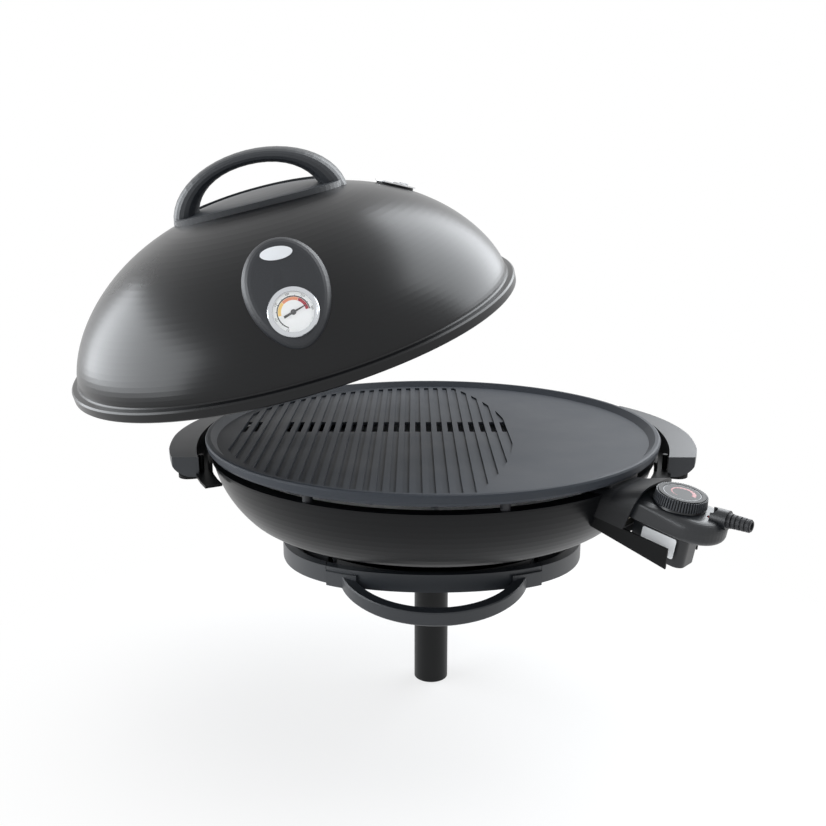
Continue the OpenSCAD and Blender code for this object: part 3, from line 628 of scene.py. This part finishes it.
def finish_piece(
    mesh: bmesh.types.BMesh, name: str, finish: Finish, body: str
) -> bpy.types.Object:
    """Turns a bmesh into a dressed piece that rides on a body.

    Args:
        mesh: The shape, in its place, in metres. It is freed.
        name: The piece's name.
        finish: The finish that it wears.
        body: The CAD body that carries it.

    Returns:
        The new object.
    """
    bmesh.ops.recalc_face_normals(mesh, faces=mesh.faces)
    data = bpy.data.meshes.new(name)
    mesh.to_mesh(data)
    mesh.free()
    piece = bpy.data.objects.new(name, data)
    bpy.context.scene.collection.objects.link(piece)
    data.materials.append(bpy.data.materials.get(finish.name) or finish.build())
    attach(piece, body)
    log.info("%s: %d faces, on %s", name, len(data.polygons), body)
    return piece


def ring_sector(
    mesh: bmesh.types.BMesh, inner: float, outer: float, start: float, sweep: float, thick: float
) -> None:
    """Adds a flat sector of a ring about Z, spun from its cross-section.

    Args:
        mesh: The bmesh that it is added to.
        inner: Inner radius.
        outer: Outer radius.
        start: Angle of the first end, in degrees, counter-clockwise from the right.
        sweep: Angle that it covers, in degrees, clockwise.
        thick: Its thickness.
    """
    verts = bmesh.ops.create_grid(mesh, x_segments=1, y_segments=1, size=0.5)["verts"]
    size = Matrix.Diagonal((outer - inner, thick, 1.0, 1.0))
    upright = Matrix.Rotation(math.pi / 2, 4, "X")
    out = Matrix.Translation(((inner + outer) / 2, 0.0, thick / 2))
    turn = Matrix.Rotation(math.radians(start), 4, "Z")
    bmesh.ops.transform(mesh, matrix=turn @ out @ upright @ size, verts=verts)
    section = verts[0].link_faces[0]
    steps = max(1, round(abs(sweep) / SPIN_STEP))
    made = bmesh.ops.spin(
        mesh,
        geom=[section, *section.edges, *section.verts],
        axis=(0.0, 0.0, 1.0),
        cent=(0.0, 0.0, 0.0),
        steps=steps,
        angle=-math.radians(sweep),
        use_merge=False,
        use_duplicate=False,
    )
    last = [e for e in made["geom_last"] if isinstance(e, bmesh.types.BMEdge)]
    bmesh.ops.contextual_create(mesh, geom=last)


@dataclass
class DialPrint:
    """The thermometer's printed scale: an arc, three bands of colour, ticks and plain numbers."""

    seat: Seat
    band_in: float = 10.3
    band_out: float = 12.9
    arc_in: float = 13.1
    arc_out: float = 14.0
    start: float = -106.0
    sweep: float = 239.0
    ink: float = 0.05
    number_r: float = 15.8
    number_size: float = 2.5
    tick: float = 0.7
    tick_deg: float = 1.8

    def band(self, name: str, finish: Finish, first: float, last: float) -> None:
        """Lays one band of colour, from first to last as shares of the scale."""
        mesh = bmesh.new()
        start = self.start - self.sweep * first
        ring_sector(mesh, self.band_in, self.band_out, start, self.sweep * (last - first), self.ink)
        bmesh.ops.transform(mesh, matrix=self.seat.matrix(), verts=mesh.verts)
        finish_piece(mesh, name, finish, "lid")

    def arc(self) -> None:
        """Lays the black arc, with a tick outward at each tenth."""
        mesh = bmesh.new()
        ring_sector(mesh, self.arc_in, self.arc_out, self.start, self.sweep, self.ink)
        for i in range(11):
            angle = self.start - self.sweep * i / 10
            first = angle + self.tick_deg / 2
            ring_sector(
                mesh, self.arc_out, self.arc_out + self.tick, first, self.tick_deg, self.ink
            )
        bmesh.ops.transform(mesh, matrix=self.seat.matrix(), verts=mesh.verts)
        finish_piece(mesh, "dial_arc", INK_BLACK, "lid")

    def numbers(self, values: tuple[int, ...] = (50, 100, 150, 200, 250, 300)) -> None:
        """Sets the plain numbers round the scale.

        Args:
            values: The numbers, from the scale's start to its end.
        """
        mesh = bmesh.new()
        for i, value in enumerate(values):
            text = bpy.data.curves.new("dial_number", "FONT")
            text.body = str(value)
            text.size = self.number_size
            text.align_x = "CENTER"
            text.align_y = "CENTER"
            text.extrude = self.ink / 2
            text.resolution_u = 2
            holder = bpy.data.objects.new("dial_number", text)
            bpy.context.scene.collection.objects.link(holder)
            flat = bpy.data.meshes.new_from_object(holder)
            angle = math.radians(self.start - self.sweep * i / (len(values) - 1))
            spot = Vector((math.cos(angle), math.sin(angle), 0.0)) * self.number_r
            turn = Matrix.Rotation(angle - math.pi / 2, 4, "Z")
            flat.transform(self.seat.matrix(self.ink / 2) @ Matrix.Translation(spot) @ turn)
            mesh.from_mesh(flat)
            bpy.data.objects.remove(holder)
            bpy.data.curves.remove(text)
            bpy.data.meshes.remove(flat)
        finish_piece(mesh, "dial_numbers", INK_BLACK, "lid")

    def build(self) -> None:
        """Lays the whole scale."""
        self.arc()
        self.band("dial_band_yellow", INK_YELLOW, 0.235, 0.47)
        self.band("dial_band_orange", INK_ORANGE, 0.475, 0.755)
        self.band("dial_band_red", INK_RED, 0.76, 1.0)
        self.numbers()


@dataclass
class OvalBadge:
    """The bare white oval plate on the lid's pad, laid on the pad's crown."""

    pad: bpy.types.Object
    middle: Vector
    facing: Vector
    right: Vector
    length: float = 27.5
    width: float = 12.0
    thick: float = 0.6
    edge: float = 0.25
    sunk: float = 0.2

    def build(self) -> None:
        """Makes the oval, bends it onto the pad and rounds its edge."""
        mesh = bmesh.new()
        bmesh.ops.create_circle(mesh, cap_ends=True, segments=64, radius=0.5)
        bmesh.ops.scale(mesh, vec=(self.length, self.width, 1.0), verts=mesh.verts)
        for _ in range(4):
            rim = [face for face in mesh.faces if len(face.verts) == 64]
            bmesh.ops.inset_region(mesh, faces=rim, thickness=1.1, use_even_offset=True)
        seat = seat_on(self.middle, self.facing, self.right)
        bmesh.ops.transform(mesh, matrix=seat.matrix(), verts=mesh.verts)
        pad = self.pad.data
        surface = BVHTree.FromPolygons(
            [v.co for v in pad.vertices], [tuple(p.vertices) for p in pad.polygons]
        )
        for vert in mesh.verts:
            hit = surface.ray_cast(vert.co + self.facing * 0.02, -self.facing)[0]
            if hit is not None:
                vert.co = hit - self.facing * self.sunk * MM
        sheet = list(mesh.faces)
        grown = bmesh.ops.extrude_face_region(mesh, geom=sheet)
        lifted = [e for e in grown["geom"] if isinstance(e, bmesh.types.BMVert)]
        bmesh.ops.translate(mesh, vec=self.facing * (self.thick + self.sunk) * MM, verts=lifted)
        lip = [
            e
            for e in mesh.edges
            if all(v in lifted for v in e.verts) and e.calc_face_angle(0.0) > math.radians(60)
        ]
        ease(mesh, lip, self.edge * MM, 3)
        piece = finish_piece(mesh, "oval_badge", WHITE_BADGE, "lid")
        piece.data.shade_smooth()


@dataclass
class CaseLabel:
    """The bare white label on the flat front of the thermostat's switch box."""

    seat: Seat
    length: float = 33.0
    height: float = 19.0
    corner: float = 2.0
    thick: float = 0.12

    def build(self) -> None:
        """Makes the label with its rounded corners."""
        mesh = bmesh.new()
        bmesh.ops.create_cube(mesh, size=1.0)
        bmesh.ops.scale(mesh, vec=(self.length, self.height, self.thick), verts=mesh.verts)
        posts = [
            e for e in mesh.edges if abs(e.verts[0].co.z - e.verts[1].co.z) > self.thick / 2
        ]
        ease(mesh, posts, self.corner, 5)
        bmesh.ops.transform(mesh, matrix=self.seat.matrix(), verts=mesh.verts)
        finish_piece(mesh, "case_label", WHITE_FILM, "thermostat")


@dataclass
class KnobPrint:
    """The knob's print: red marks that swell with the heat, inside a thin pale line."""

    seat: Seat
    wedge_in: float = 8.6
    wedge_out: float = 12.2
    rim: float = 16.2
    ink: float = 0.05
    marks: int = 14
    first: float = 225.0
    sweep: float = 270.0
    gap: float = 2.5
    thinnest: float = 0.6

    def build(self) -> None:
        """Lays the red marks and the rim line."""
        mesh = bmesh.new()
        pitch = self.sweep / self.marks
        growth = self.wedge_out - self.wedge_in - self.thinnest
        for i in range(self.marks):
            outer = self.wedge_in + self.thinnest + growth * i / (self.marks - 1)
            start = self.first - pitch * i
            ring_sector(mesh, self.wedge_in, outer, start, pitch - self.gap, self.ink)
        bmesh.ops.transform(mesh, matrix=self.seat.matrix(), verts=mesh.verts)
        finish_piece(mesh, "knob_heat_scale", INK_KNOB_RED, "knob")
        line = bmesh.new()
        ring_sector(line, self.rim - 0.35, self.rim, 90, 359.9, self.ink)
        bmesh.ops.transform(line, matrix=self.seat.matrix(), verts=line.verts)
        finish_piece(line, "knob_rim_line", INK_KNOB_GREY, "knob")


@dataclass
class HandleShelf:
    """The dark shelf that joins a side handle's lower edge to the bowl's rim, below the plate."""

    name: str
    middle: float
    height_m: float
    inner_m: float
    outer_m: float
    spread: float = 29.0
    thick: float = 2.4

    def build(self) -> None:
        """Spins the shelf's section round the post."""
        mesh = bmesh.new()
        start = self.middle + self.spread
        ring_sector(mesh, self.inner_m / MM, self.outer_m / MM, start, 2 * self.spread, self.thick)
        place = Matrix.Translation((0.0, 0.0, self.height_m)) @ Matrix.Scale(MM, 4)
        bmesh.ops.transform(mesh, matrix=place, verts=mesh.verts)
        finish_piece(mesh, self.name, DARK_STEEL_PAINT, "base")


@dataclass
class GuardWeb:
    """The dark web between the guard's two cheeks, under the thermostat's socket."""

    seat: Seat
    length: float = 27.0
    width: float = 55.0
    height: float = 7.0
    edge: float = 0.6

    def build(self) -> None:
        """Makes the web with its edges eased."""
        mesh = bmesh.new()
        bmesh.ops.create_cube(mesh, size=1.0)
        bmesh.ops.scale(mesh, vec=(self.length, self.height, self.width), verts=mesh.verts)
        ease(mesh, list(mesh.edges), self.edge, 2)
        bmesh.ops.transform(mesh, matrix=self.seat.matrix(), verts=mesh.verts)
        finish_piece(mesh, "guard_web", DARK_STEEL_PAINT, "base")


@dataclass
class KnobKnurl:
    """The ribs over the knob's own, painted paler than its nylon as a sheen, which lean inward with
    its flank.
    """

    seat: Seat
    height: float
    foot_r: float = 22.6
    top_r: float = 21.4
    ribs: int = 60
    rib_w: float = 1.25
    rib_d: float = 1.7
    short: float = 1.2
    edge: float = 0.3

    def build(self) -> None:
        """Sets one tapered rib after another round the knob."""
        mesh = bmesh.new()
        tall = self.height - self.short
        lean = math.atan2(self.foot_r - self.top_r, self.height)
        for i in range(self.ribs):
            made = bmesh.ops.create_cube(mesh, size=1.0)["verts"]
            size = Matrix.Diagonal((self.rib_d, self.rib_w, tall, 1.0))
            out = Matrix.Translation(((self.foot_r + self.top_r) / 2, 0.0, -self.height / 2))
            turn = Matrix.Rotation(2 * math.pi * i / self.ribs, 4, "Z")
            slope = Matrix.Rotation(-lean, 4, "Y")
            bmesh.ops.transform(mesh, matrix=turn @ out @ slope @ size, verts=made)
        long_edges = [e for e in mesh.edges if e.calc_length() > tall * 0.9]
        ease(mesh, long_edges, self.edge, 2)
        bmesh.ops.transform(mesh, matrix=self.seat.matrix(), verts=mesh.verts)
        finish_piece(mesh, "knob_knurl", RIB_NYLON_PAINTED_SHEEN, "knob")


@dataclass
class Studio:
    """The pale floor, the white background, four softboxes and a camera at the photo's angle."""

    camera_m: tuple[float, float, float] = (-0.0201, -0.9764, 0.5375)
    pitch: float = 13.51
    lens: float = 41.48
    floor_r_m: float = 9.0
    clear_r_m: float = 0.55
    near_share: float = 0.7
    lamp_colour: tuple[float, float, float] = (0.93, 0.965, 1.0)

    def floor(self) -> None:
        """Lays the floor: real shading near the object, fading to the white of the background."""
        mesh = bmesh.new()
        bmesh.ops.create_circle(mesh, cap_ends=True, segments=96, radius=self.floor_r_m)
        bmesh.ops.translate(mesh, vec=(0.0, 0.0, -0.0005), verts=mesh.verts)
        data = bpy.data.meshes.new("floor")
        mesh.to_mesh(data)
        mesh.free()
        plane = bpy.data.objects.new("floor", data)
        bpy.context.scene.collection.objects.link(plane)
        material = bpy.data.materials.new("pale_floor_paper")
        material.use_nodes = True
        tree = material.node_tree
        tree.nodes.clear()
        paper = add_node(tree, "ShaderNodeBsdfDiffuse", inputs={"Color": linear("f4f4f4")})
        glow = add_node(tree, "ShaderNodeEmission", inputs={"Color": (1.0, 1.0, 1.0, 1.0)})
        place = add_node(tree, "ShaderNodeTexCoord").outputs["Object"]
        away = add_node(tree, "ShaderNodeVectorMath", {"operation": "LENGTH"}, {0: place})
        far = add_node(
            tree,
            "ShaderNodeMapRange",
            {"interpolation_type": "SMOOTHSTEP"},
            {
                "Value": away.outputs["Value"],
                "From Min": self.clear_r_m * 0.3,
                "From Max": self.clear_r_m,
                "To Min": self.near_share,
                "To Max": 1.0,
            },
        )
        share = add_node(
            tree,
            "ShaderNodeMath",
            {"operation": "MULTIPLY"},
            {0: white_rays(tree), 1: far.outputs["Result"]},
        )
        blend = add_node(
            tree,
            "ShaderNodeMixShader",
            inputs={0: share.outputs[0], 1: paper.outputs[0], 2: glow.outputs[0]},
        )
        add_node(tree, "ShaderNodeOutputMaterial", inputs={"Surface": blend.outputs[0]})
        data.materials.append(material)

    def world(self, level: float = 0.06) -> None:
        """Sets a dim, even sky that the camera, metal and glass see as white.

        Args:
            level: The sky's strength as light.
        """
        world = bpy.data.worlds.new("studio")
        bpy.context.scene.world = world
        world.use_nodes = True
        tree = world.node_tree
        tree.nodes.clear()
        strength = add_node(
            tree,
            "ShaderNodeMix",
            {"data_type": "FLOAT"},
            {0: white_rays(tree), 2: level, 3: 1.0},
        )
        sky = add_node(
            tree,
            "ShaderNodeBackground",
            inputs={"Color": (1.0, 1.0, 1.0, 1.0), "Strength": strength.outputs[0]},
        )
        add_node(tree, "ShaderNodeOutputWorld", inputs={"Surface": sky.outputs[0]})

    def softbox(
        self,
        name: str,
        place: tuple[float, float, float],
        aim: tuple[float, float, float],
        size: tuple[float, float],
        power: float,
        in_gloss: bool = True,
    ) -> None:
        """Hangs one rectangular softbox.

        Args:
            name: Its name.
            place: Its middle, in metres.
            aim: The point that it faces.
            size: Its width and height, in metres.
            power: Its power in watts.
            in_gloss: Whether shiny surfaces mirror it.
        """
        data = bpy.data.lights.new(name, "AREA")
        data.shape = "RECTANGLE"
        data.size, data.size_y = size
        data.energy = power
        data.color = self.lamp_colour
        lamp = bpy.data.objects.new(name, data)
        lamp.visible_glossy = in_gloss
        bpy.context.scene.collection.objects.link(lamp)
        lamp.location = place
        way = Vector(aim) - Vector(place)
        lamp.rotation_euler = way.to_track_quat("-Z", "Y").to_euler()

    def build(self) -> None:
        """Sets up the floor, the sky, the lamps and the camera."""
        self.floor()
        self.world()
        middle = (-0.05, 0.0, 0.38)
        self.softbox("left_softbox", (-2.0, -0.05, 0.78), middle, (2.8, 1.25), 60.0)
        self.softbox("right_softbox", (1.25, 0.85, 1.6), middle, (2.2, 2.1), 75.0)
        self.softbox("top_softbox", (0.1, 0.1, 2.4), middle, (1.6, 1.4), 14.0, in_gloss=False)
        self.softbox("front_softbox", (0.0, -2.4, 0.9), middle, (2.0, 1.2), 22.0, in_gloss=False)
        data = bpy.data.cameras.new("photo_camera")
        data.lens = self.lens
        data.sensor_width = 36.0
        data.clip_end = 50.0
        camera = bpy.data.objects.new("photo_camera", data)
        bpy.context.scene.collection.objects.link(camera)
        camera.location = self.camera_m
        camera.rotation_euler = (math.radians(90.0 - self.pitch), 0.0, 0.0)
        bpy.context.scene.camera = camera
        bpy.context.scene.view_settings.view_transform = "Standard"


def camera_ray(studio: Studio, right_px: float, down_px: float, width_px: float = 826.0) -> Vector:
    """Gives the direction from the camera through a pixel of the photograph.

    Args:
        studio: The studio, for its camera.
        right_px: The pixel's column.
        down_px: The pixel's row.
        width_px: The photograph's width and height.

    Returns:
        A unit vector.
    """
    focal = studio.lens / 36.0 * width_px
    half = width_px / 2
    local = Vector((right_px - half, half - down_px, -focal)).normalized()
    return Matrix.Rotation(math.radians(90.0 - studio.pitch), 3, "X") @ local


@dataclass
class Dressing:
    """The pieces laid on the CAD: they take their places from its joints and surfaces."""

    nodes: dict[str, bpy.types.Object]
    joints: dict[str, dict]
    studio: Studio
    badge_px: tuple[float, float] = (276.0, 253.2)
    badge_rise: float = 13.0
    knob_from_plug: float = 37.0
    label_at: tuple[float, float] = (32.2, -22.5)
    web_at: tuple[float, float] = (-8.5, -20.5)
    shelf_gap: float = 0.4
    shelf_reach: float = 12.0
    shelf_lift: float = 1.2

    def axis(self, joint: str) -> Vector:
        """Gives a joint's axis as a unit vector."""
        return Vector(self.joints[joint]["axis"]).normalized()

    def dial(self) -> None:
        """Lays the thermometer's scale on the dial."""
        middle = Vector(self.joints["needle_turn"]["pos_m"])
        normal = self.axis("needle_turn")
        top = reach(self.nodes["dial_face"], middle, normal)[1]
        seat = seat_on(middle + normal * top, normal, Vector((1.0, 0.0, 0.0)))
        DialPrint(seat).build()

    def badge(self) -> None:
        """Lays the oval plate where the photograph shows it."""
        pad = self.nodes["badge_plate"]
        start = Vector(self.studio.camera_m)
        way = camera_ray(self.studio, *self.badge_px)
        found, middle, normal, _ = pad.ray_cast(start, way)
        if not found:
            log.warning("the badge's ray misses the pad")
            return
        rise = math.radians(self.badge_rise)
        right = Vector((math.cos(rise), 0.0, math.sin(rise)))
        OvalBadge(pad, middle, normal, right).build()

    def label(self) -> None:
        """Lays the label on the switch box's front."""
        along = self.axis("thermostat_plug")
        up = self.axis("knob_turn")
        out = along.cross(up)
        plug = Vector(self.joints["knob_turn"]["pos_m"]) - along * self.knob_from_plug * MM
        x, z = self.label_at
        spot = plug + along * x * MM + up * z * MM
        base = self.nodes["thermostat_base"]
        found, hit, _, _ = base.ray_cast(spot + out * 0.05, -out)
        if not found:
            log.warning("the label's ray misses the case")
            return
        CaseLabel(Seat(hit, along, up)).build()

    def knob(self) -> None:
        """Prints the knob's disc and sets its ribs."""
        middle = Vector(self.joints["knob_turn"]["pos_m"])
        normal = self.axis("knob_turn")
        top = reach(self.nodes["knob_disc"], middle, normal)[1]
        KnobPrint(seat_on(middle + normal * top, normal, Vector((1.0, 0.0, 0.0)))).build()
        low, high = reach(self.nodes["control_knob"], middle, normal)
        crown = seat_on(middle + normal * high, normal, Vector((1.0, 0.0, 0.0)))
        KnobKnurl(crown, (high - low) / MM).build()

    def shelves(self) -> None:
        """Sets a shelf under each side handle."""
        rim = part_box("bowl")[1][0] + self.shelf_gap * MM
        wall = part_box("grill_plate")[1][0] + self.shelf_reach * MM
        for side, middle in (("left", 180.0), ("right", 0.0)):
            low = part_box(f"{side}_handle")[0][2] + self.shelf_lift * MM
            HandleShelf(f"{side}_handle_shelf", middle, low, rim, wall).build()

    def web(self) -> None:
        """Sets the web under the socket."""
        along = self.axis("thermostat_plug")
        up = self.axis("knob_turn")
        plug = Vector(self.joints["knob_turn"]["pos_m"]) - along * self.knob_from_plug * MM
        x, z = self.web_at
        middle = plug + along * x * MM + up * z * MM
        GuardWeb(Seat(middle, along, up)).build()

    def build(self) -> None:
        """Lays every piece."""
        self.dial()
        self.badge()
        self.label()
        self.knob()
        self.shelves()
        self.web()


def main() -> None:
    """Loads the frame, dresses its nodes, lays the new pieces and sets up the studio."""
    logging.basicConfig(level=logging.INFO, format="%(name)s: %(message)s")
    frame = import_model()
    dress_nodes(frame["nodes"])
    studio = Studio()
    joints = {joint["name"]: joint for joint in frame["joints"]}
    Dressing(frame["nodes"], joints, studio).build()
    studio.build()


if __name__ == "__main__":
    main()
